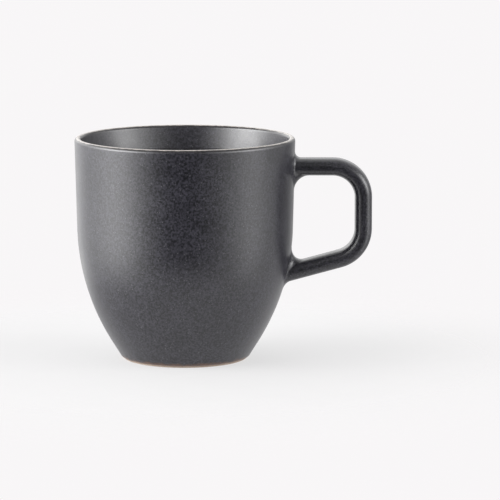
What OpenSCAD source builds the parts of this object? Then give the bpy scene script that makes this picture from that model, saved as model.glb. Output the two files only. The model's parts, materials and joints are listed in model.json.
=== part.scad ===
// Stoneware mug: a cup turned on a foot ring, with a D-shaped handle luted to its side.
// The fired clay, the slip that bonds the handle and the glaze coats are separate solids.
// The mug stands on z = 0 with its axis along +Z, and the handle points along +X.
// Sizes are of the finished, glazed mug unless their comment says otherwise.

/* [Cup] */
// Outside diameter just below the lip
cup_d = 86; // [80:1:96]
// Height from the table to the crest of the lip
cup_h = 87; // [84:1:96]
// Diameter at which the lower wall would reach the table
foot_d = 49; // [46:1:54]
// Lean of the lower wall out from the vertical, in degrees
lower_lean = 32; // [30:1:34]
// Lean of the upper wall out from the vertical, in degrees
upper_lean = 1.4; // [1:0.2:2]
// Radius of the belly curve between the two walls
belly_r = 88; // [76:2:92]
// Thickness of the wall at the mouth, below the tapered lip
wall_t = 4; // [3.4:0.2:4.6]
// Thickness of the lip, just below its rounding
lip_t = 2.6; // [2:0.2:3.2]
// Height of the lip's rounding
lip_rise = 1.5; // [1.2:0.1:2]
// Lean of the lip's tapered inner side from the vertical, in degrees
lip_taper = 10; // [6:1:14]
// Length of the straight mouth below the taper, where a lid's plug would sit
mouth_len = 10; // [6:1:14]
// Height of the inside floor above the table
floor_z = 7; // [6:0.5:8]
// Radius between the inside floor and the wall
floor_fillet = 12; // [8:1:14]

/* [Foot] */
// Width of the flat land that the mug stands on
land_w = 2.6; // [2:0.2:3.4]
// Depth of the recess inside the foot ring
well_h = 1.8; // [1.2:0.2:2.4]
// Rounding of the foot ring's outer edge
foot_round = 1.2; // [0.8:0.2:1.6]
// Height up to which the glaze was wiped off the foot
wipe_z = 0.8; // [0.8:0.1:1.6]

/* [Handle] */
// Width of the handle, along Y
arm_w = 11.5; // [9:0.5:14]
// Thickness of the handle, across its loop
arm_t = 6.8; // [5.6:0.2:7.6]
// How square the handle's section is: 2 is an ellipse
arm_squareness = 2.8; // [2:0.1:4]
// Distance from the cup's axis to the handle's outermost face
handle_reach = 73; // [68:1:80]
// Height of the upper arm's centre line
upper_arm_z = 75.7; // [72:0.1:76.5]
// Height at which the lower arm's centre line meets the wall
lower_root_z = 33.8; // [32:0.1:36]
// Rise of the lower arm away from the cup, in degrees
lower_arm_rise = 15.4; // [10:0.2:20]
// Centre-line radius of the bend between the upper arm and the grip
upper_bend_r = 12; // [10:0.5:14]
// Centre-line radius of the bend between the grip and the lower arm
lower_bend_r = 12.5; // [10:0.5:14]

/* [Joints] */
// Fillet radius at both roots, on the outside of the loop
fillet_outer = 2.4; // [1.6:0.2:3]
// Fillet radius at both roots, on the handle's two sides
fillet_side = 1; // [0.8:0.1:3]
// Fillet radius inside the loop at the upper root
fillet_upper = 6.2; // [4:0.2:7]
// Fillet radius inside the loop at the lower root
fillet_lower = 6.4; // [4:0.2:7]
// Thickness of the slip between the handle's end and the wall
slip_t = 0.6; // [0.4:0.1:1]

/* [Glaze] */
// Thickness of every glaze coat
glaze_t = 0.4; // [0.3:0.05:0.6]

/* [Hidden] */
$fn = 180;

clay = [0.72, 0.62, 0.53];
slip = [0.66, 0.56, 0.47];
charcoal = [0.29, 0.29, 0.31];

belly_steps = 22;      // straight steps in the belly's profile
lip_steps = 8;         // steps in each half of the lip
floor_steps = 12;      // steps in the fillet round the inside floor
corner_steps = 6;      // steps in a small rounding
section_steps = 32;    // points round the handle's section
bend_steps = 10;       // rings along each bend of the handle
fillet_steps = 6;      // rings up each root fillet
wall_tries = 7;        // steps of the search for the wall along an arm
cap_rings = 3;         // rings across the end of an arm
window_len = 20;       // length of the cut that clears the outer coat from under a root

// ---- The cup's profile, as [radius, height] points ----

lip_r = cup_d / 2 - lip_t / 2;
lip_z = cup_h - lip_rise;
mouth_r = cup_d / 2 - wall_t;

// Angle round the lip at which its inner rounding runs into the taper
function lip_end(depth) = atan((lip_t / 2 - depth) / (lip_rise - depth) / tan(lip_taper));

// Inner half of the lip's rounding at angle a from the crest
function inner_lip(a, depth) =
    [lip_r - (lip_t / 2 - depth) * sin(a), lip_z + (lip_rise - depth) * cos(a)];

// Point where the taper meets the straight mouth
function taper_foot(depth) = let (p = inner_lip(lip_end(depth), depth), r = mouth_r + depth)
    [r, p[1] - (p[0] - r) / tan(lip_taper)];

mouth_z = taper_foot(0)[1] - mouth_len;

// Where the straight lower and upper walls would cross
cross_z = (cup_d / 2 - foot_d / 2 - lip_z * tan(upper_lean))
    / (tan(lower_lean) - tan(upper_lean));
cross_r = foot_d / 2 + cross_z * tan(lower_lean);

// The belly's arc is tangent to both walls
belly_run = belly_r * tan((lower_lean - upper_lean) / 2);
belly_centre = [
    cross_r - belly_run * sin(lower_lean) - belly_r * cos(lower_lean),
    cross_z - belly_run * cos(lower_lean) + belly_r * sin(lower_lean)
];

// The inner wall keeps its distance from the outer one, down to the floor's fillet,
// which touches the belly's inner arc and the floor
wall_gap = (cup_d / 2 - (lip_z - mouth_z) * tan(upper_lean) - mouth_r) * cos(upper_lean);
inner_belly_r = belly_r - wall_gap;
fillet_z = floor_z + floor_fillet;
fillet_lean = asin((belly_centre[1] - fillet_z) / (inner_belly_r - floor_fillet));
fillet_r = belly_centre[0] + (inner_belly_r - floor_fillet) * cos(fillet_lean);

function arc(centre, r, from, to, steps, first = 0) = [
    for (i = [first : steps]) let (a = from + (to - from) * i / steps)
        centre + r * [cos(a), sin(a)]
];

function reversed(list) = [for (i = [len(list) - 1 : -1 : 0]) list[i]];

// Radius of the outer wall at height z, at a depth below the finished surface
function wall_r(z, depth) =
    let (below = belly_centre[1] - z, r = belly_r - depth)
    below > r * sin(lower_lean) ? foot_d / 2 + z * tan(lower_lean) - depth / cos(lower_lean)
    : below > r * sin(upper_lean) ? belly_centre[0] + sqrt(r * r - below * below)
    : cup_d / 2 - (lip_z - z) * tan(upper_lean) - depth / cos(upper_lean);

// Outside of the cup, from the glaze's lower edge up to the crest of the lip
function outside(depth) = concat(
    [[wall_r(wipe_z, depth), wipe_z]],
    arc(belly_centre, belly_r - depth, -lower_lean, -upper_lean, belly_steps),
    [for (i = [0 : lip_steps]) let (a = 90 * i / lip_steps)
        [lip_r + (lip_t / 2 - depth) * cos(a), lip_z + (lip_rise - depth) * sin(a)]]
);

// Inside of the cup, from just past the crest of the lip to the middle of the floor
function inside(depth) = concat(
    [for (i = [1 : lip_steps]) inner_lip(lip_end(depth) * i / lip_steps, depth)],
    [taper_foot(depth), [mouth_r + depth, mouth_z]],
    arc(belly_centre, inner_belly_r + depth, -upper_lean, -fillet_lean, belly_steps),
    arc([fillet_r, fillet_z], floor_fillet + depth, -fillet_lean, -90, floor_steps, first = 1),
    [[0, floor_z - depth]]
);

crest = [lip_r, cup_h];

// The foot ring, left bare: a flat land with a large outer and a small inner rounding
land_outer_r = wall_r(foot_round, glaze_t) - foot_round / cos(lower_lean);
well_round = foot_round / 2;
well_r = land_outer_r - land_w - well_round;
foot_ring = concat(
    [[0, well_h], [well_r, well_h]],
    arc([well_r + well_round, well_round], well_round, 180, 270, corner_steps),
    arc([land_outer_r, foot_round], foot_round, -90, -lower_lean, corner_steps)
);

// ---- The handle's section, as [along Y, away from the loop] points ----

half_w = arm_w / 2 - glaze_t;
half_t = arm_t / 2 - glaze_t;
turns = [for (i = [0 : section_steps - 1]) 360 * i / section_steps];

function signed_pow(v, p) = sign(v) * pow(abs(v), p);

// Point of the fired clay's section at angle a, moved out square to the surface
function section(a, out) = let (
        on = 2 / arm_squareness,
        n = [signed_pow(cos(a), 2 - on) / half_w, signed_pow(sin(a), 2 - on) / half_t]
    )
    [half_w * signed_pow(cos(a), on), half_t * signed_pow(sin(a), on)] + out * n / norm(n);

// A section point set in space: centre and away are [x, z] vectors
function set_point(centre, away, s) = [
    centre[0] + away[0] * s[1],
    s[0],
    centre[1] + away[1] * s[1]
];

// ---- The handle's centre line: arm, bend, grip, bend, arm ----

grip_x = handle_reach - arm_t / 2;
lower_root_x = wall_r(lower_root_z, 0);
upper_centre = [grip_x - upper_bend_r, upper_arm_z - upper_bend_r];
lower_bend_x = grip_x - lower_bend_r;
lower_centre = [
    lower_bend_x,
    lower_root_z + lower_bend_r * cos(lower_arm_rise)
        + (lower_bend_x + lower_bend_r * sin(lower_arm_rise) - lower_root_x) * tan(lower_arm_rise)
];

function bend(centre, r, from, to) = [
    for (i = [0 : bend_steps]) let (a = from + (to - from) * i / bend_steps)
        [centre + r * [cos(a), sin(a)], [cos(a), sin(a)]]
];

stations = concat(
    bend(upper_centre, upper_bend_r, 90, 0),
    bend(lower_centre, lower_bend_r, 0, lower_arm_rise - 90)
);

// Rings round the handle between its two roots
function arm_rings(out) = [
    for (st = stations) [for (a = turns) set_point(st[0], st[1], section(a, out))]
];

// ---- The roots ----

// Each root: [point on the centre line, direction out along the arm, away from the loop,
// fillet radius inside the loop, 1 where away points up or -1 where it points down]
upper_root = [[cup_d / 2, upper_arm_z], [1, 0], [0, 1], fillet_upper, 1];
lower_root = [
    [lower_root_x, lower_root_z],
    [cos(lower_arm_rise), sin(lower_arm_rise)],
    [sin(lower_arm_rise), -cos(lower_arm_rise)],
    fillet_lower,
    -1
];

// Fillet radius at angle a of the section: largest inside the loop, smallest at the sides
function fillet(root, a) =
    fillet_side + ((sin(a) > 0 ? fillet_outer : root[3]) - fillet_side) * pow(sin(a), 2);

// Slides a point along the arm until it lies on the wall, at a depth below its surface
function on_wall(p, along, depth, tries = wall_tries) =
    tries == 0 ? p : let (
        x = sqrt(pow(wall_r(p[2], depth), 2) - p[1] * p[1]),
        q = p + (x - p[0]) / along[0] * [along[0], 0, along[1]]
    ) on_wall(q, along, depth, tries - 1);

// Ring on the wall, then lifted off it along the arm. out and lift are lists over the turns.
function root_ring(root, out, lift, depth, share = 1) = [
    for (i = [0 : section_steps - 1])
        on_wall(set_point(root[0], root[2], share * section(turns[i], out[i])), root[1], depth)
            + lift[i] * [root[1][0], 0, root[1][1]]
];

function same(v) = [for (a = turns) v];

// Rings up the fillet, from the wall to the arm. coat is 0 for the clay and 1 for the glaze.
function fillet_rings(root, coat) = [
    for (k = [0 : fillet_steps]) let (
            t = 90 * k / fillet_steps,
            r = [for (a = turns) fillet(root, a) + (1 - coat) * glaze_t]
        )
        root_ring(
            root,
            [for (v = r) coat * glaze_t + v * (1 - sin(t))],
            [for (v = r) v * (1 - cos(t))],
            (1 - coat) * glaze_t
        )
];

// Rings across the end of the handle, set back from the clay wall by the slip
function end_rings(root) = [
    for (k = [1 : cap_rings]) root_ring(root, same(0), same(slip_t), glaze_t, k / cap_rings)
];

// Rings on the clay wall under the slip joint
function bed_rings(root) = [
    for (k = [1 : cap_rings])
        root_ring(root, [for (a = turns) fillet(root, a) + glaze_t], same(0), glaze_t,
            k / (cap_rings + 1))
];

function root_middle(root, lift) =
    on_wall(set_point(root[0], root[2], [0, 0]), root[1], glaze_t)
        + lift * [root[1][0], 0, root[1][1]];

// ---- Solids from rings of points ----

function flat(lists) = [for (l = lists) each l];

function band(i, j) = let (n = section_steps) [
    for (k = [0 : n - 1]) let (m = (k + 1) % n)
        each [[i * n + k, j * n + k, j * n + m], [i * n + k, j * n + m, i * n + m]]
];

// Closed skin over the rings, with a point at each end
module capped(first, rings, last) {
    n = section_steps;
    top = len(rings) * n;
    polyhedron(
        points = concat(flat(rings), [first, last]),
        faces = concat(
            flat([for (i = [0 : len(rings) - 2]) band(i, i + 1)]),
            [for (k = [0 : n - 1]) [top, k, (k + 1) % n]],
            [for (k = [0 : n - 1]) [top + 1, top - n + (k + 1) % n, top - n + k]]
        )
    );
}

// Closed skin over rings that run out and back again, like a sleeve
module sleeve(rings) {
    polyhedron(
        points = flat(rings),
        faces = flat([for (i = [0 : len(rings) - 1]) band(i, (i + 1) % len(rings))])
    );
}

// ---- The pieces ----

module cup_body() {
    color(clay) rotate_extrude() polygon(concat(foot_ring, outside(glaze_t), inside(glaze_t)));
}

module handle() {
    upper = fillet_rings(upper_root, 0);
    lower = fillet_rings(lower_root, 0);
    color(clay) capped(
        root_middle(upper_root, slip_t),
        concat(
            end_rings(upper_root), [upper[fillet_steps]],
            arm_rings(0),
            [lower[fillet_steps]], reversed(end_rings(lower_root))
        ),
        root_middle(lower_root, slip_t)
    );
}

module slip_joint(root) {
    up = root[4] > 0;
    rings = concat(bed_rings(root), fillet_rings(root, 0), reversed(end_rings(root)));
    color(slip) capped(
        root_middle(root, up ? 0 : slip_t),
        up ? rings : reversed(rings),
        root_middle(root, up ? slip_t : 0)
    );
}

module upper_slip_joint() {
    slip_joint(upper_root);
}

module lower_slip_joint() {
    slip_joint(lower_root);
}

module liner_glaze() {
    color(charcoal) rotate_extrude() polygon(concat(
        [crest], inside(0), reversed(inside(glaze_t)), [crest - [0, glaze_t]]
    ));
}

// Prism along an arm, as wide as its root with the fillet
module window(root) {
    translate([root[0][0], 0, root[0][1]])
        rotate([0, -atan2(root[1][1], root[1][0]), 0])
            rotate([90, 0, 90])
                linear_extrude(window_len, center = true)
                    polygon([for (a = turns) let (s = section(a, fillet(root, a) + glaze_t))
                        [s[0], root[4] * s[1]]]);
}

module outer_glaze() {
    color(charcoal) difference() {
        rotate_extrude() polygon(concat(outside(0), reversed(outside(glaze_t))));
        window(upper_root);
        window(lower_root);
    }
}

module handle_glaze() {
    color(charcoal) sleeve(concat(
        fillet_rings(upper_root, 1), arm_rings(glaze_t), reversed(fillet_rings(lower_root, 1)),
        fillet_rings(lower_root, 0), reversed(arm_rings(0)), reversed(fillet_rings(upper_root, 0))
    ));
}

module foot_well_glaze() {
    color(charcoal) translate([0, 0, well_h - glaze_t])
        cylinder(h = glaze_t, r = well_r - glaze_t);
}

cup_body();
handle();
upper_slip_joint();
lower_slip_joint();
liner_glaze();
outer_glaze();
handle_glaze();
foot_well_glaze();
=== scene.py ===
"""A glazed stoneware mug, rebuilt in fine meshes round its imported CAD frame.

Lengths are in millimetres and angles in degrees until a mesh is made, which is in metres.
The cup's axis is Z, the handle points along +X, and the mug stands on z = 0.
"""

import json
import math

import bpy
from mathutils import Matrix, Vector

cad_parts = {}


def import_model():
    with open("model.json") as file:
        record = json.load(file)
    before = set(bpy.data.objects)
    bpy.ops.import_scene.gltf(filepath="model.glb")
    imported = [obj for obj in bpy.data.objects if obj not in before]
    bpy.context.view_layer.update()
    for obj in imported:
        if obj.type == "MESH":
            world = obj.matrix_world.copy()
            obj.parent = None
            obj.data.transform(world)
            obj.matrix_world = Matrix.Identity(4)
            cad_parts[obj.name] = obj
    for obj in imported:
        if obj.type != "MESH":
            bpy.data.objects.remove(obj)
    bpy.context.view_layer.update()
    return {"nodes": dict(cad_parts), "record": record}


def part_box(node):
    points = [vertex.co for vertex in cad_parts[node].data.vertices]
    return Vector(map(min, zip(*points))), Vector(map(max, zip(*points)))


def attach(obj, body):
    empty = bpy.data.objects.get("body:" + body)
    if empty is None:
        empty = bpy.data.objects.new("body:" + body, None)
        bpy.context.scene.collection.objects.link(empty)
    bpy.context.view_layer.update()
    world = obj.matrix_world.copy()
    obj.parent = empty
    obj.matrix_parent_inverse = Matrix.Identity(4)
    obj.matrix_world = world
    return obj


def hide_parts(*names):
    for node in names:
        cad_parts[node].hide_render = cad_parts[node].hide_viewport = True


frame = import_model()

MM = 0.001

# ---- Sizes that the frame gives ----

mouth = next(m for m in frame["record"]["mounts"] if m["name"] == "mouth")
MOUTH_R = mouth["dims"]["r_mm"]
MOUTH_LEN = mouth["dims"]["length_mm"]
MOUTH_Z = mouth["pos_m"][2] / MM - MOUTH_LEN / 2
CUP_D = (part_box("outer_glaze")[1].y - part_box("outer_glaze")[0].y) / MM
CUP_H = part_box("liner_glaze")[1].z / MM
WIPE_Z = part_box("outer_glaze")[0].z / MM
GLAZE = CUP_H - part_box("cup_body")[1].z / MM
FLOOR_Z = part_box("liner_glaze")[0].z / MM + GLAZE
WELL_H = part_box("foot_well_glaze")[1].z / MM
WELL_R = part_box("foot_well_glaze")[1].x / MM + GLAZE
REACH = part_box("handle_glaze")[1].x / MM
ARM_W = (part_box("handle")[1].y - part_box("handle")[0].y) / MM + 2 * GLAZE

# ---- Sizes of the curves between them ----

FOOT_D = 49.0  # diameter at which the lower wall would reach the table
LOWER_LEAN = 32.0  # lean of the lower wall from the vertical
UPPER_LEAN = 1.4  # lean of the upper wall from the vertical
BELLY_R = 88.0  # radius of the belly's curve between them
LIP_T = 2.6  # thickness of the lip just below its rounding
LIP_RISE = 1.5  # height of the lip's rounding
LIP_TAPER = 10.0  # lean of the lip's tapered inner side from the vertical
FLOOR_FILLET = 12.0  # radius between the inside floor and the wall
LAND_W = 2.6  # width of the foot ring's flat land
FOOT_ROUND = 1.2  # rounding of the foot ring's outer edge
BEAD = 0.55  # height over which the glaze thins out at its wiped edge

ARM_T = 6.8  # thickness of the handle across its loop
SQUARENESS = 2.8  # exponent of the handle's rounded section
UPPER_Z = 75.7  # height of the upper arm's centre line
LOWER_Z = 33.8  # height at which the lower arm's centre line meets the wall
LOWER_RISE = 15.4  # rise of the lower arm away from the cup
UPPER_BEND = 12.0  # centre-line radius of the bend above the grip
LOWER_BEND = 12.5  # and of the one below it
FILLET_OUTER = 2.4  # fillet radius at both roots, outside the loop
FILLET_SIDE = 1.0  # on the handle's two sides
FILLET_UPPER = 6.2  # inside the loop, at the upper root
FILLET_LOWER = 6.4  # inside the loop, at the lower root

# ---- Mesh density ----

COLUMNS = 256  # segments round the cup
WALL_STEPS = 60  # steps up the clay wall
BELLY_STEPS = 48  # steps along the belly inside the cup
CORNER_STEPS = 24  # steps round the corner between the inside floor and the wall
FLOOR_STEPS = 8  # steps across the inside floor
MOUTH_STEPS = 6  # steps down the straight mouth
TAPER_STEPS = 16  # steps down the lip's taper
FOOT_STEPS = 14  # steps round the foot ring's outer edge
WELL_STEPS = 12  # steps across the well's glaze, and round each of the well's edges
WELL_TOP_STEPS = 10  # steps across the clay above that glaze
BEAD_STEPS = 10  # steps round the glaze's wiped edge
PATCH = 16  # half the cells across the patch of wall round each root
PATCH_RINGS = 14  # rings from a root's outline to the edge of its patch
SECTION = 8 * PATCH  # points round the handle's section
LIP_STEPS = 40  # steps in each half of the lip
FILLET_RINGS = 18  # rings up each root's fillet
FILLET_EASE = 1.3  # crowds those rings towards the wall
BEND_RINGS = 28  # rings along each bend of the handle
ON_WALL_ROUNDS = 8  # rounds of sliding a point along the arm until it lies on the wall
SHARP = 40  # angle between faces from which an edge is shaded as sharp
ON_AXIS = 1e-6  # radius below which a profile point counts as on the cup's axis


def sin(a):
    return math.sin(math.radians(a))


def cos(a):
    return math.cos(math.radians(a))


def tan(a):
    return math.tan(math.radians(a))


def steps(start, end, count, first=0, ease=1.0):
    """count + 1 values from start to end, leaving out those before first."""
    return [start + (end - start) * (i / count) ** ease for i in range(first, count + 1)]


def arc(centre, radius, start, end, count, first=0):
    return [
        (centre[0] + radius * cos(a), centre[1] + radius * sin(a))
        for a in steps(start, end, count, first)
    ]


# ---- The cup's profile, as (radius, height) points ----

LIP_R = CUP_D / 2 - LIP_T / 2
LIP_Z = CUP_H - LIP_RISE

lean_gap = tan(LOWER_LEAN) - tan(UPPER_LEAN)
cross_z = (CUP_D / 2 - FOOT_D / 2 - LIP_Z * tan(UPPER_LEAN)) / lean_gap
cross_r = FOOT_D / 2 + cross_z * tan(LOWER_LEAN)
belly_run = BELLY_R * tan((LOWER_LEAN - UPPER_LEAN) / 2)
BELLY = (
    cross_r - belly_run * sin(LOWER_LEAN) - BELLY_R * cos(LOWER_LEAN),
    cross_z - belly_run * cos(LOWER_LEAN) + BELLY_R * sin(LOWER_LEAN),
)

wall_gap = (CUP_D / 2 - (LIP_Z - MOUTH_Z) * tan(UPPER_LEAN) - MOUTH_R) * cos(UPPER_LEAN)
INNER_BELLY_R = BELLY_R - wall_gap
fillet_z = FLOOR_Z + FLOOR_FILLET
fillet_lean = math.degrees(math.asin((BELLY[1] - fillet_z) / (INNER_BELLY_R - FLOOR_FILLET)))
fillet_r = BELLY[0] + (INNER_BELLY_R - FLOOR_FILLET) * cos(fillet_lean)


def wall_r(z, depth=0.0):
    """Radius of the outer wall at height z, at a depth below the glazed surface."""
    below, r = BELLY[1] - z, BELLY_R - depth
    if below > r * sin(LOWER_LEAN):
        return FOOT_D / 2 + z * tan(LOWER_LEAN) - depth / cos(LOWER_LEAN)
    if below > r * sin(UPPER_LEAN):
        return BELLY[0] + math.sqrt(r * r - below * below)
    return CUP_D / 2 - (LIP_Z - z) * tan(UPPER_LEAN) - depth / cos(UPPER_LEAN)


def outer_lip(depth):
    """The lip's outer half, from the wall to the crest."""
    return [
        (LIP_R + (LIP_T / 2 - depth) * cos(a), LIP_Z + (LIP_RISE - depth) * sin(a))
        for a in steps(0, 90, LIP_STEPS)
    ]


def inner_lip(depth):
    """The lip's inner half, from the crest down the rounding and the taper to the mouth."""
    wide, high = LIP_T / 2 - depth, LIP_RISE - depth
    end = math.degrees(math.atan(wide / high / tan(LIP_TAPER)))
    rounding = [
        (LIP_R - wide * sin(a), LIP_Z + high * cos(a))
        for a in steps(0, end, LIP_STEPS)
    ]
    r, z = rounding[-1]
    run = r - MOUTH_R - depth
    taper = [
        (r - run * s, z - run * s / tan(LIP_TAPER))
        for s in steps(0, 1, TAPER_STEPS, 1)
    ]
    return rounding + taper


def inside(depth):
    """The cup's inside, from the crest of the lip to the middle of the floor."""
    mouth_top = inner_lip(depth)[-1][1]
    return (
        inner_lip(depth)
        + [(MOUTH_R + depth, z) for z in steps(mouth_top, MOUTH_Z, MOUTH_STEPS, 1)]
        + arc(BELLY, INNER_BELLY_R + depth, -UPPER_LEAN, -fillet_lean, BELLY_STEPS)
        + arc((fillet_r, fillet_z), FLOOR_FILLET + depth, -fillet_lean, -90, CORNER_STEPS, 1)
        + [(r, FLOOR_Z - depth) for r in steps(fillet_r, 0, FLOOR_STEPS, 1)]
    )


# ---- The handle: section, centre line and roots ----

HALF_W = ARM_W / 2 - GLAZE
HALF_T = ARM_T / 2 - GLAZE
TURNS = [360 * i / SECTION for i in range(SECTION)]


def power(v, p):
    return math.copysign(abs(v) ** p, v)


def section(a, out):
    """Point of the clay's section at angle a, as (along Y, away from the loop), moved out."""
    on = 2 / SQUARENESS
    n = (power(cos(a), 2 - on) / HALF_W, power(sin(a), 2 - on) / HALF_T)
    grow = out / math.hypot(*n)
    return HALF_W * power(cos(a), on) + grow * n[0], HALF_T * power(sin(a), on) + grow * n[1]


grip_x = REACH - ARM_T / 2
root_x = wall_r(LOWER_Z)
upper_bend = (grip_x - UPPER_BEND, UPPER_Z - UPPER_BEND)
lower_bend = (
    grip_x - LOWER_BEND,
    LOWER_Z
    + LOWER_BEND * cos(LOWER_RISE)
    + (grip_x - LOWER_BEND + LOWER_BEND * sin(LOWER_RISE) - root_x) * tan(LOWER_RISE),
)


class Root:
    """Where an arm meets the wall. Points and directions are (x, z) pairs."""

    def __init__(self, point, along, away, inner_fillet):
        self.point, self.along, self.away = point, along, away
        self.inner_fillet = inner_fillet
        self.turn = 1 if away[1] > 0 else -1

    def fillet(self, a):
        """Fillet radius at angle a of the section."""
        most = FILLET_OUTER if sin(a) > 0 else self.inner_fillet
        return FILLET_SIDE + (most - FILLET_SIDE) * sin(a) ** 2

    def on_wall(self, a, out, depth, lift=0.0):
        """The section's point at angle a, slid along the arm to the wall and lifted off it."""
        y, off = section(a, out)
        x, z = self.point[0] + self.away[0] * off, self.point[1] + self.away[1] * off
        for _ in range(ON_WALL_ROUNDS):
            slide = (math.sqrt(wall_r(z, depth) ** 2 - y * y) - x) / self.along[0]
            x, z = x + slide * self.along[0], z + slide * self.along[1]
        return x + lift * self.along[0], y, z + lift * self.along[1]

    def fillet_rings(self, coat):
        """Rings from the wall up the fillet to the arm: coat is 1 for the glaze, 0 under it."""
        rings = []
        for t in steps(0, 90, FILLET_RINGS, ease=FILLET_EASE):
            ring = []
            for a in TURNS:
                r = self.fillet(a) + (1 - coat) * GLAZE
                out = coat * GLAZE + r * (1 - sin(t))
                ring.append(self.on_wall(a, out, (1 - coat) * GLAZE, r * (1 - cos(t))))
            rings.append(ring)
        return rings


UPPER = Root((CUP_D / 2, UPPER_Z), (1, 0), (0, 1), FILLET_UPPER)
LOWER = Root(
    (root_x, LOWER_Z),
    (cos(LOWER_RISE), sin(LOWER_RISE)),
    (sin(LOWER_RISE), -cos(LOWER_RISE)),
    FILLET_LOWER,
)


def arm_rings(out):
    """Rings round the handle from the end of one fillet to the end of the other."""
    rings = []
    for centre, radius, start, end in (
        (upper_bend, UPPER_BEND, 90, 0),
        (lower_bend, LOWER_BEND, 0, LOWER_RISE - 90),
    ):
        for t in steps(start, end, BEND_RINGS):
            away = (cos(t), sin(t))
            middle = (centre[0] + radius * away[0], centre[1] + radius * away[1])
            ring = []
            for a in TURNS:
                y, off = section(a, out)
                ring.append((middle[0] + away[0] * off, y, middle[1] + away[1] * off))
            rings.append(ring)
    return rings


# ---- Meshes ----


class Skin:
    """Points and faces, with points in the same place shared."""

    def __init__(self):
        self.points, self.faces, self.known = [], [], {}

    def point(self, p):
        """Index of the point p. Adding 0.0 makes -0.0 and 0.0 the same key."""
        key = tuple(round(c, 4) + 0.0 for c in p)
        if key not in self.known:
            self.known[key] = len(self.points)
            self.points.append(p)
        return self.known[key]

    def face(self, *corners):
        found = list(dict.fromkeys(self.point(c) for c in corners))
        if len(found) > 2:
            self.faces.append(found)

    def strip(self, a, b):
        """A closed band of faces from ring a to ring b."""
        for i in range(len(a)):
            j = (i + 1) % len(a)
            self.face(a[i], a[j], b[j], b[i])

    def piece(self, name, node, material, slot):
        """The skin as a smooth-shaded object in metres that stands for a CAD node."""
        mesh = bpy.data.meshes.new(name)
        mesh.from_pydata([[c * MM for c in p] for p in self.points], [], self.faces)
        mesh.validate()
        mesh.shade_smooth()
        mesh.set_sharp_from_angle(angle=math.radians(SHARP))
        mesh.materials.append(material)
        made = bpy.data.objects.new(name, mesh)
        bpy.context.scene.collection.objects.link(made)
        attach(made, "root")
        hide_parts(node)


def turned(p, angle):
    """A profile point turned about the cup's axis."""
    return p[0] * cos(angle), p[0] * sin(angle), p[1]


def ring_of(p):
    return [turned(p, 360 * i / COLUMNS) for i in range(COLUMNS)]


def lathe(profile):
    """The closed profile turned about Z.

    Its faces point out of the solid if it runs anticlockwise when the radius is to the right.
    """
    skin = Skin()
    for a, b in zip(profile, profile[1:] + profile[:1]):
        if max(a[0], b[0]) > ON_AXIS:
            skin.strip(ring_of(a), ring_of(b))
    return skin


# ---- The outer coat, with a window round each root ----

UPPER_PATCH = (61.0, 84.5)  # bottom and top of the wall patch that holds the upper root
LOWER_PATCH = (23.5, 48.5)  # and of the one that holds the lower root
FOOT_TO_PATCH = 24  # rows of wall from the foot to the lower patch
PATCH_TO_PATCH = 14  # and from there to the upper one


def patch_edge(k):
    """Cell (column, row) of the k-th point round a patch's square edge, from its middle."""
    side, along = divmod(k + PATCH, 2 * PATCH)
    run = along - PATCH
    return [(PATCH, run), (-run, PATCH), (-PATCH, -run), (run, -PATCH)][side % 4]


def window_patch(skin, root, heights, depth, flip):
    """The wall between a root's outline and the edge of its patch."""

    def spot(angle, z):
        return turned((wall_r(z, depth), z), angle)

    outline, edge = [], []
    middle, half = sum(heights) / 2, (heights[1] - heights[0]) / 2
    for k, a in enumerate(TURNS):
        x, y, z = root.on_wall(a, root.fillet(a) + GLAZE, depth)
        outline.append((math.degrees(math.atan2(y, x)), z))
        column, row = patch_edge(k)
        edge.append((360 * column / COLUMNS, middle + root.turn * half * row / PATCH))
    rings = [
        [
            spot(a[0] + (b[0] - a[0]) * s, a[1] + (b[1] - a[1]) * s)
            for a, b in zip(outline, edge)
        ]
        for s in steps(0, 1, PATCH_RINGS)
    ]
    for a, b in zip(rings, rings[1:]):
        if flip == (root.turn > 0):
            a, b = b, a
        skin.strip(a, b)
    return rings[0]


def outer_coat():
    """The glaze outside, from its wiped edge to the crest, open where the handle joins it."""
    heights = (
        steps(WIPE_Z + BEAD, LOWER_PATCH[0], FOOT_TO_PATCH, 1)
        + steps(*LOWER_PATCH, 2 * PATCH, 1)
        + steps(LOWER_PATCH[1], UPPER_PATCH[0], PATCH_TO_PATCH, 1)
        + steps(*UPPER_PATCH, 2 * PATCH, 1)
        + [LIP_Z]
    )
    bead = [
        (wall_r(z, GLAZE * (1 - sin(a))), z)
        for a in steps(0, 90, BEAD_STEPS)
        for z in [WIPE_Z + BEAD * (1 - cos(a))]
    ]
    outer = bead + [(wall_r(z), z) for z in heights] + outer_lip(0)[1:]
    inner = [(wall_r(z, GLAZE), z) for _, z in bead + outer[len(bead):-LIP_STEPS]]
    inner += outer_lip(GLAZE)[1:]

    def in_window(a, b, column):
        middle = (a + b) / 2
        near = any(low < middle < high for low, high in (LOWER_PATCH, UPPER_PATCH))
        return near and -PATCH <= column < PATCH

    skin = Skin()
    for profile, out in ((outer, True), (inner, False)):
        for a, b in zip(profile, profile[1:]):
            for column in range(-COLUMNS // 2, COLUMNS // 2):
                if in_window(a[1], b[1], column):
                    continue
                t, u = 360 * column / COLUMNS, 360 * (column + 1) / COLUMNS
                corners = [turned(a, t), turned(a, u), turned(b, u), turned(b, t)]
                skin.face(*(corners if out else corners[::-1]))
    skin.strip(ring_of(outer[-1]), ring_of(inner[-1]))
    for root, patch in ((UPPER, UPPER_PATCH), (LOWER, LOWER_PATCH)):
        over = window_patch(skin, root, patch, 0, False)
        under = window_patch(skin, root, patch, GLAZE, True)
        if root.turn > 0:
            over, under = under, over
        skin.strip(over, under)
    return skin


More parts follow.
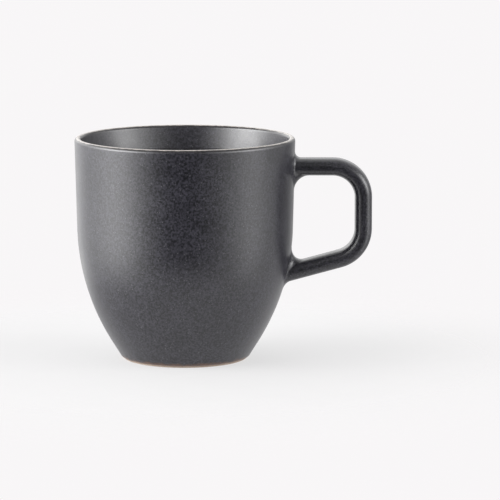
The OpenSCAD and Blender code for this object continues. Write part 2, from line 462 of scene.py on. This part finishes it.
def handle_coat():
    """The glaze round the handle and both fillets, with its underside against the clay."""
    skin = Skin()
    out = UPPER.fillet_rings(1) + arm_rings(GLAZE) + LOWER.fillet_rings(1)[::-1]
    back = LOWER.fillet_rings(0) + arm_rings(0)[::-1] + UPPER.fillet_rings(0)[::-1]
    rings = out + back
    for a, b in zip(rings, rings[1:] + rings[:1]):
        skin.strip(a, b)
    return skin


# ---- Materials ----
# Texture scales are in cells per metre: 1000 / scale is the size of a cell in millimetres.

GLAZE_DARK = (0.0015, 0.0014, 0.0035)
GLAZE_PALE = (0.029, 0.0278, 0.037)
CRYSTAL = (0.115, 0.115, 0.126)  # tiny pale crystals scattered in the glaze
LIP_PAINTED_SHADE = (0.012, 0.008, 0.006)  # painted shade: the glaze just below the crest, darkened to stand in for the dark reflection there
LIP_BREAK_AND_HIGHLIGHT = (0.34, 0.31, 0.285)  # the glaze on the crest, where it runs thin, painted pale both as its break and as a painted highlight along the crest
FOOT_BREAK = (0.115, 0.055, 0.030)  # the glaze at its wiped edge
CLAY = (0.50, 0.41, 0.34)
CLAY_GRIT = (0.22, 0.14, 0.09)
SLIP = (0.43, 0.35, 0.29)
SLIP_GRIT = (0.19, 0.12, 0.08)
TOAST = (0.13, 0.075, 0.045)  # bare clay that the kiln has browned at the foot
GLAZE_IOR = 1.66
CLAY_IOR = 1.45


class Nodes:
    """A node tree, emptied, with a few helpers."""

    def __init__(self, owner):
        owner.use_nodes = True
        self.tree = owner.node_tree
        self.tree.nodes.clear()

    def node(self, kind, **settings):
        made = self.tree.nodes.new(kind)
        for key, value in settings.items():
            setattr(made, key, value)
        return made

    def link(self, start, end):
        self.tree.links.new(start, end)

    def plug(self, socket, value):
        """Links an output to the socket, or sets a plain number or colour on it."""
        if isinstance(value, bpy.types.NodeSocket):
            self.link(value, socket)
        else:
            socket.default_value = value

    def maths(self, operation, *values):
        made = self.node("ShaderNodeMath", operation=operation)
        for socket, value in zip(made.inputs, values):
            self.plug(socket, value)
        return made.outputs[0]

    def remap(self, value, low, high, start=0.0, end=1.0):
        """The value's span from low to high, eased onto start to end and held beyond it."""
        made = self.node("ShaderNodeMapRange", interpolation_type="SMOOTHSTEP")
        self.link(value, made.inputs["Value"])
        for name, number in (
            ("From Min", low), ("From Max", high), ("To Min", start), ("To Max", end),
        ):
            self.plug(made.inputs[name], number)
        return made.outputs["Result"]

    def mix(self, share, a, b):
        made = self.node("ShaderNodeMix", data_type="RGBA")
        self.plug(made.inputs[0], share)
        for socket, colour in ((made.inputs[6], a), (made.inputs[7], b)):
            self.plug(socket, (*colour, 1) if isinstance(colour, tuple) else colour)
        return made.outputs[2]


class Material(Nodes):
    """A material with a Principled shader and object coordinates."""

    def __init__(self, name):
        self.made = bpy.data.materials.new(name)
        super().__init__(self.made)
        self.shader = self.node("ShaderNodeBsdfPrincipled")
        self.link(self.shader.outputs[0], self.node("ShaderNodeOutputMaterial").inputs[0])
        self.place = self.node("ShaderNodeTexCoord").outputs["Object"]

    def noise(self, scale, detail=2.0, roughness=0.5):
        made = self.node("ShaderNodeTexNoise")
        self.link(self.place, made.inputs["Vector"])
        made.inputs["Scale"].default_value = scale
        made.inputs["Detail"].default_value = detail
        made.inputs["Roughness"].default_value = roughness
        return made.outputs[0]

    def spots(self, scale):
        """Distance from the nearest of many scattered points, in cells."""
        made = self.node("ShaderNodeTexVoronoi")
        self.link(self.place, made.inputs["Vector"])
        made.inputs["Scale"].default_value = scale
        return made.outputs["Distance"]

    def tinted(self, colour, low, high, value):
        """The colour times low to high, as a 0 to 1 value rises."""
        made = self.node("ShaderNodeMix", data_type="RGBA", blend_type="MULTIPLY")
        made.inputs[0].default_value = 1
        self.plug(made.inputs[6], colour)
        self.link(self.remap(value, 0.25, 0.75, low, high), made.inputs[7])
        return made.outputs[2]

    def height(self):
        """Height above the table, in metres."""
        split = self.node("ShaderNodeSeparateXYZ")
        self.link(self.place, split.inputs[0])
        return split.outputs[2]

    def bump(self, layers):
        """Bump of several layers, each (height, depth in millimetres)."""
        normal = None
        for value, depth in layers:
            made = self.node("ShaderNodeBump")
            self.link(value, made.inputs["Height"])
            made.inputs["Strength"].default_value = 1
            made.inputs["Distance"].default_value = depth * MM
            if normal is not None:
                self.link(normal, made.inputs["Normal"])
            normal = made.outputs[0]
        self.link(normal, self.shader.inputs["Normal"])

    def finish(self, colour, roughness, ior):
        self.plug(self.shader.inputs["Base Color"], colour)
        self.plug(self.shader.inputs["Roughness"], roughness)
        self.shader.inputs["IOR"].default_value = ior
        return self.made


def charcoal_glaze():
    """Satin slate glaze: fine mottling, soft clouds, a warm break where it runs thin, and on
    the lip a painted highlight along the crest over a band of painted shade.
    """
    m = Material("charcoal_glaze")
    mottle = m.noise(1250, 3, 0.7)
    cloud = m.noise(95, 2, 0.5)
    drift = m.noise(420, 2, 0.6)
    colour = m.mix(m.remap(mottle, 0.38, 0.62), GLAZE_DARK, GLAZE_PALE)
    colour = m.tinted(colour, 0.86, 1.14, cloud)
    crystal = m.remap(m.spots(1100), 0.12, 0.30, 1, 0)
    rare = m.remap(m.noise(700, 1, 0.5), 0.48, 0.60)
    crystals = m.maths("MULTIPLY", m.maths("MULTIPLY", crystal, rare), 0.6)
    colour = m.mix(crystals, colour, CRYSTAL)

    height = m.height()
    at_lip = m.maths("ADD", height, m.remap(drift, 0.3, 0.7, -0.08 * MM, 0.08 * MM))
    at_foot = m.maths("ADD", height, m.remap(drift, 0.3, 0.7, -0.4 * MM, 0.4 * MM))
    # Painted shade: darkens the glaze just below the crest, standing in for its dark
    # reflection.
    below_crest_shade = m.remap(at_lip, (CUP_H - 1.2) * MM, (CUP_H - 0.3) * MM, 0, 0.6)
    # Painted highlight: the crest is painted pale, partly as the glaze's thin break and partly
    # as the highlight along it.
    crest_break_and_highlight = m.remap(at_lip, (CUP_H - 0.27) * MM, (CUP_H - 0.12) * MM, 0, 0.95)
    foot_thin = m.remap(at_foot, WIPE_Z * MM, (WIPE_Z + 1.4) * MM, 0.8, 0)
    colour = m.mix(below_crest_shade, colour, LIP_PAINTED_SHADE)
    colour = m.mix(crest_break_and_highlight, colour, LIP_BREAK_AND_HIGHLIGHT)
    colour = m.mix(foot_thin, colour, FOOT_BREAK)

    pits = m.remap(m.spots(260), 0.03, 0.09, -1, 0)
    m.bump([(cloud, 0.10), (drift, 0.020), (mottle, 0.012), (pits, 0.02)])
    roughness = m.maths("ADD", m.remap(cloud, 0.3, 0.7, -0.02, 0.02),
                        m.remap(mottle, 0.35, 0.65, 0.30, 0.34))
    return m.finish(colour, roughness, GLAZE_IOR)


def bare_clay(name, base, grit):
    """Fired clay without glaze: sandy grain with grog specks, and browned at the foot."""
    m = Material(name)
    grain = m.noise(2600, 4, 0.7)
    patch = m.noise(160, 3, 0.55)
    colour = m.tinted(m.tinted((*base, 1), 0.80, 1.14, grain), 0.90, 1.08, patch)
    grog = m.maths("MULTIPLY", m.remap(m.spots(900), 0.14, 0.26, 1, 0),
                   m.remap(m.noise(480, 1), 0.50, 0.60))
    colour = m.mix(m.maths("MULTIPLY", grog, 0.7), colour, grit)
    height = m.height()
    toast = m.remap(height, 0.1 * MM, (WIPE_Z + 0.6) * MM, 0.3, 0.75)
    toast = m.maths("MULTIPLY", toast, m.remap(height, 4 * MM, 6 * MM, 1, 0))
    colour = m.mix(toast, colour, TOAST)
    m.bump([(patch, 0.05), (grain, 0.02), (grog, 0.02)])
    return m.finish(colour, m.remap(grain, 0.3, 0.7, 0.80, 0.93), CLAY_IOR)


GLAZE_MATERIAL = charcoal_glaze()
CLAY_MATERIAL = bare_clay("stoneware_clay", CLAY, CLAY_GRIT)
SLIP_MATERIAL = bare_clay("joint_slip", SLIP, SLIP_GRIT)

# ---- Pieces ----

land_outer = wall_r(FOOT_ROUND, GLAZE) - FOOT_ROUND / cos(LOWER_LEAN)
well_round = land_outer - LAND_W - WELL_R
well_edge = GLAZE * 1.5  # width over which the well's glaze thins out


def cup_clay():
    """The cup's fired clay: well, foot ring, wall, lip and inside."""
    foot = (
        [(r, WELL_H) for r in steps(0, WELL_R, WELL_TOP_STEPS)]
        + arc((WELL_R + well_round, well_round), well_round, 180, 270, WELL_STEPS)
        + arc((land_outer, FOOT_ROUND), FOOT_ROUND, -90, -LOWER_LEAN, FOOT_STEPS)
    )
    wall = [(wall_r(z, GLAZE), z) for z in steps(WIPE_Z, LIP_Z, WALL_STEPS)]
    return lathe(foot + wall + outer_lip(GLAZE)[1:] + inside(GLAZE)[1:])


def well_coat():
    """The well's glaze, a shallow puddle whose edge thins out before the foot ring."""
    r = WELL_R - GLAZE
    under = [(v, WELL_H - GLAZE) for v in steps(0, r - well_edge, WELL_STEPS)]
    rim = [
        (r - well_edge * (1 - sin(a)), WELL_H - GLAZE * cos(a))
        for a in steps(0, 90, WELL_STEPS)
    ]
    return lathe(under + rim + [(0, WELL_H)])


for name, node_name, skin in (
    ("outer_glaze_coat", "outer_glaze", outer_coat()),
    ("handle_glaze_coat", "handle_glaze", handle_coat()),
    ("liner_glaze_coat", "liner_glaze", lathe(inside(0)[::-1] + inside(GLAZE))),
    ("foot_well_glaze_coat", "foot_well_glaze", well_coat()),
):
    skin.piece(name, node_name, GLAZE_MATERIAL, "charcoal_glaze")
cup_clay().piece("cup_clay", "cup_body", CLAY_MATERIAL, "stoneware_clay")

for name, surface in (
    ("handle", CLAY_MATERIAL),
    ("upper_slip_joint", SLIP_MATERIAL),
    ("lower_slip_joint", SLIP_MATERIAL),
):
    for slot in frame["nodes"][name].material_slots:
        slot.material = surface

# ---- Stage, light and camera ----

TABLE_FADE = 0.07  # radius in metres at which the table top starts to fade
TABLE_END = 0.18  # and at which it has gone
TABLE_GLOW = 0.59  # light that it gives off, so that the foot casts only a soft shadow
TABLE_COLOUR = (0.24, 0.236, 0.239)

CAMERA_LENS = 251.2  # focal length for a sensor 36 mm wide
CAMERA_PLACE = (25.353, -1350.0, 248.95)  # in millimetres, before the turn
CAMERA_TURN = 1.5  # about the cup's axis
CAMERA_DOWN = 8.695  # tilt below the horizon

# Light of the studio round the horizon: (degrees from the camera's side towards +X, strength).
# A large soft box stands on the left, a smaller one on the right, and a pale backdrop behind.
STUDIO = (
    (-180, 1.1), (-150, 2.0), (-115, 1.9), (-95, 3.3), (-75, 4.8), (-58, 3.4), (-40, 1.1),
    (-20, 0.1), (15, 0.1), (38, 0.5), (60, 1.7), (75, 2.65), (90, 2.0), (102, 1.0),
    (118, 1.0), (138, 0.2), (160, 0.9), (180, 1.1),
)
BOOST_TOP = 14  # elevation at which the soft boxes reach their full extra strength
UPPER_BOOST = (3.0, 0.8)  # that extra strength: on the camera's side and behind
WALLS_TOP = (26, 38)  # elevations between which the ring gives way to the ceiling
CEILING = (0.4, 1.3)  # light from high up: on the camera's side and behind
BACKDROP = (0.940, 0.924, 0.932)  # what the camera sees past the table top


def floor():
    """A pale lit table top round the mug, which fades into the pale surroundings."""
    mesh = bpy.data.meshes.new("floor")
    half = TABLE_END * 1.1
    corners = [(-half, -half, 0), (half, -half, 0), (half, half, 0), (-half, half, 0)]
    mesh.from_pydata(corners, [], [(0, 1, 2, 3)])
    m = Material("floor")
    radius = m.node("ShaderNodeVectorMath", operation="LENGTH")
    m.link(m.place, radius.inputs[0])
    shown = m.remap(radius.outputs["Value"], TABLE_FADE, TABLE_END, 1, 0)
    m.plug(m.shader.inputs["Alpha"], shown)
    m.shader.inputs["Emission Color"].default_value = (1, 1, 1, 1)
    m.shader.inputs["Emission Strength"].default_value = TABLE_GLOW
    m.shader.inputs["Specular IOR Level"].default_value = 0
    paper = m.tinted((*TABLE_COLOUR, 1), 0.99, 1.01, m.noise(60, 2))
    mesh.materials.append(m.finish(paper, 1.0, 1.5))
    made = bpy.data.objects.new("floor", mesh)
    bpy.context.scene.collection.objects.link(made)


def camera():
    """The camera, a little above the mug and looking down at it."""
    data = bpy.data.cameras.new("camera")
    data.sensor_width = 36.0
    data.lens = CAMERA_LENS
    made = bpy.data.objects.new("camera", data)
    bpy.context.scene.collection.objects.link(made)
    turn = Matrix.Rotation(math.radians(CAMERA_TURN), 4, "Z")
    place = Matrix.Translation(Vector(CAMERA_PLACE) * MM)
    tilt = Matrix.Rotation(math.radians(90 - CAMERA_DOWN), 4, "X")
    made.matrix_world = turn @ place @ tilt
    bpy.context.scene.camera = made


def world():
    """A ring of light under a ceiling. The camera itself sees only a plain backdrop."""
    made = bpy.data.worlds.new("studio")
    w = Nodes(made)
    split = w.node("ShaderNodeSeparateXYZ")
    w.link(w.node("ShaderNodeTexCoord").outputs["Generated"], split.inputs[0])
    x, y, z = split.outputs
    turn = w.maths("ARCTAN2", x, w.maths("MULTIPLY", y, -1.0))
    ring = w.node("ShaderNodeValToRGB")
    w.link(w.maths("MULTIPLY_ADD", turn, 0.5 / math.pi, 0.5), ring.inputs[0])
    brightest = max(light for _, light in STUDIO)
    stops = ring.color_ramp.elements
    while len(stops) < len(STUDIO):
        stops.new(1.0)
    for stop, (angle, light) in zip(stops, STUDIO):
        stop.position = (angle + 180) / 360
        stop.color = (*[light / brightest] * 3, 1)
    boost = w.remap(y, -0.2, 0.5, *UPPER_BOOST)
    above = w.maths("MULTIPLY", w.remap(z, 0.0, sin(BOOST_TOP)), boost)
    strength = w.maths("MULTIPLY_ADD", above, brightest, brightest)
    walls = w.maths("MULTIPLY", ring.outputs[0], strength)
    high = w.remap(z, *map(sin, WALLS_TOP))
    light = w.maths("ADD", w.maths("MULTIPLY", walls, w.maths("SUBTRACT", 1.0, high)),
                    w.maths("MULTIPLY", high, w.remap(y, -0.5, 0.5, *CEILING)))
    lit = w.node("ShaderNodeBackground")
    w.link(light, lit.inputs["Strength"])
    seen = w.node("ShaderNodeBackground")
    seen.inputs["Color"].default_value = (*BACKDROP, 1)
    both = w.node("ShaderNodeMixShader")
    w.link(w.node("ShaderNodeLightPath").outputs["Is Camera Ray"], both.inputs[0])
    w.link(lit.outputs[0], both.inputs[1])
    w.link(seen.outputs[0], both.inputs[2])
    w.link(both.outputs[0], w.node("ShaderNodeOutputWorld").inputs[0])
    bpy.context.scene.world = made


floor()
camera()
world()
bpy.context.scene.view_settings.view_transform = "Standard"
